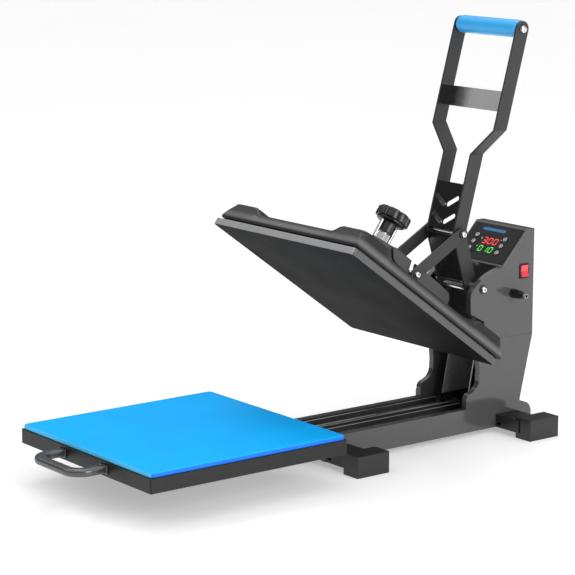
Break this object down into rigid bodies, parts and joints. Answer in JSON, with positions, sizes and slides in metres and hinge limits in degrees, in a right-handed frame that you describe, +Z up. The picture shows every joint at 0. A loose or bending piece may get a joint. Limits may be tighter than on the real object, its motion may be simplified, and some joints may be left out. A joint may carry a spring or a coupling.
{
  "type": "heat press",
  "caption": "Clamshell heat press with a pull-out lower platen and silicone pad, tilting upper heat platen, linked lever handle, pressure knob and slanted control panel.",
  "frame": {"origin": "bottom centre of the whole press as it stands open, on the table", "axes": "+X to the operator's right, +Y from the front to the back, +Z up"},
  "size_m": [0.38, 0.963, 0.7265],
  "materials": {
    "frame_paint": "satin",
    "base_paint": "satin",
    "foot": "matt",
    "slide": "brushed",
    "handle_paint": "fine texture",
    "arm_paint": "satin",
    "shaft": "polished",
    "lower_platen": "fine texture",
    "heat_plate": "coated, matt",
    "cover": "satin",
    "insulation": "fibre board",
    "pad": "smooth",
    "drawer_handle": "matt",
    "grip": "smooth",
    "black_plastic": "matt",
    "fascia": "gloss",
    "button": "gloss",
    "rocker": "gloss",
    "board": "circuit board"
  },
  "bodies": {
    "frame": {"side_frame_right": "frame_paint", "side_frame_left": "frame_paint", "front_crossbar": "base_paint", "rear_crossbar": "base_paint", "foot_front_right": "foot", "foot_front_left": "foot", "foot_rear_right": "foot", "foot_rear_left": "foot", "base_tray": "base_paint", "slide_outer_right": "slide", "slide_outer_left": "slide", "stop_bracket": "base_paint", "column_channel": "base_paint", "control_box": "frame_paint", "control_box_rear_cover": "frame_paint", "control_fascia": "fascia", "display_window": "fascia", "controller_board": "board", "switch_bezel": "black_plastic", "cable_gland": "black_plastic", "handle_pivot_shaft": "shaft", "arm_pivot_shaft": "shaft"},
    "drawer": {"carriage": "base_paint", "lower_platen": "lower_platen", "silicone_pad": "pad", "drawer_handle": "drawer_handle", "slide_inner_right": "slide", "slide_inner_left": "slide"},
    "middle_rail_right": {"slide_middle_right": "slide"},
    "middle_rail_left": {"slide_middle_left": "slide"},
    "handle": {"handle_bar_right": "handle_paint", "handle_bar_left": "handle_paint", "slotted_plate": "handle_paint", "cross_plate": "handle_paint", "leg_plate": "handle_paint", "knee_shaft": "shaft", "grip_rod": "shaft", "grip_sleeve": "grip"},
    "links": {"link_right": "handle_paint", "link_left": "handle_paint", "link_shaft": "shaft"},
    "arm": {"arm_plate_right": "arm_paint", "arm_plate_left": "arm_paint", "arm_bridge": "arm_paint", "arm_tie": "arm_paint"},
    "upper_platen": {"heat_plate": "heat_plate", "insulation": "insulation", "platen_cover": "cover", "hanger": "arm_paint"},
    "knob": {"pressure_screw": "shaft", "pressure_knob": "black_plastic"},
    "rocker": {"switch_rocker": "rocker"},
    "button_1": {"button_1": "button"},
    "button_2": {"button_2": "button"},
    "button_3": {"button_3": "button"},
    "button_4": {"button_4": "button"},
    "button_5": {"button_5": "button"},
    "button_6": {"button_6": "button"}
  },
  "joints": [
    {"name": "drawer_slide", "type": "slide", "parent": "frame", "child": "drawer", "axis": [0, 1, 0], "range_m": [0, 0.3404]},
    {"name": "middle_rail_right_slide", "type": "slide", "parent": "frame", "child": "middle_rail_right", "axis": [0, 1, 0], "range_m": [0, 0.1702]},
    {"name": "middle_rail_left_slide", "type": "slide", "parent": "frame", "child": "middle_rail_left", "axis": [0, 1, 0], "range_m": [0, 0.1702]},
    {"name": "handle_hinge", "type": "hinge", "parent": "frame", "child": "handle", "pos_m": [0, 0.361, 0.262], "axis": [1, 0, 0], "range_deg": [0, 71.39]},
    {"name": "arm_hinge", "type": "hinge", "parent": "frame", "child": "arm", "pos_m": [0, 0.3944, 0.165], "axis": [1, 0, 0], "range_deg": [0, 36.1]},
    {"name": "link_hinge", "type": "hinge", "parent": "handle", "child": "links", "pos_m": [0, 0.3325, 0.359], "axis": [1, 0, 0], "range_deg": [-52.5, 0]},
    {"name": "platen_lift", "type": "slide", "parent": "arm", "child": "upper_platen", "axis": [0, 0.5892, 0.808], "range_m": [0, 0.006]},
    {"name": "knob_turn", "type": "hinge", "parent": "upper_platen", "child": "knob", "pos_m": [0, 0.19273, 0.36961], "axis": [0, 0.5892, 0.808], "range_deg": [0, 1080]},
    {"name": "rocker_tip", "type": "hinge", "parent": "frame", "child": "rocker", "pos_m": [0.065, 0.4575, 0.284], "axis": [0, 1, 0], "range_deg": [0, 10]},
    {"name": "button_1_press", "type": "slide", "parent": "frame", "child": "button_1", "axis": [0, 0.7303, -0.6832], "range_m": [0, 0.0008], "stiffness_N_per_m": 800},
    {"name": "button_2_press", "type": "slide", "parent": "frame", "child": "button_2", "axis": [0, 0.7303, -0.6832], "range_m": [0, 0.0008], "stiffness_N_per_m": 800},
    {"name": "button_3_press", "type": "slide", "parent": "frame", "child": "button_3", "axis": [0, 0.7303, -0.6832], "range_m": [0, 0.0008], "stiffness_N_per_m": 800},
    {"name": "button_4_press", "type": "slide", "parent": "frame", "child": "button_4", "axis": [0, 0.7303, -0.6832], "range_m": [0, 0.0008], "stiffness_N_per_m": 800},
    {"name": "button_5_press", "type": "slide", "parent": "frame", "child": "button_5", "axis": [0, 0.7303, -0.6832], "range_m": [0, 0.0008], "stiffness_N_per_m": 800},
    {"name": "button_6_press", "type": "slide", "parent": "frame", "child": "button_6", "axis": [0, 0.7303, -0.6832], "range_m": [0, 0.0008], "stiffness_N_per_m": 800}
  ],
  "couplings": [
    {"joint": "middle_rail_right_slide", "follows": "drawer_slide", "ratio": 0.5},
    {"joint": "middle_rail_left_slide", "follows": "drawer_slide", "ratio": 0.5},
    {"joint": "arm_hinge", "follows": "handle_hinge", "ratio": 0.50567},
    {"joint": "link_hinge", "follows": "handle_hinge", "ratio": -0.73421},
    {"joint": "platen_lift", "follows": "knob_turn", "m_per_rad": 0.0003183}
  ]
}
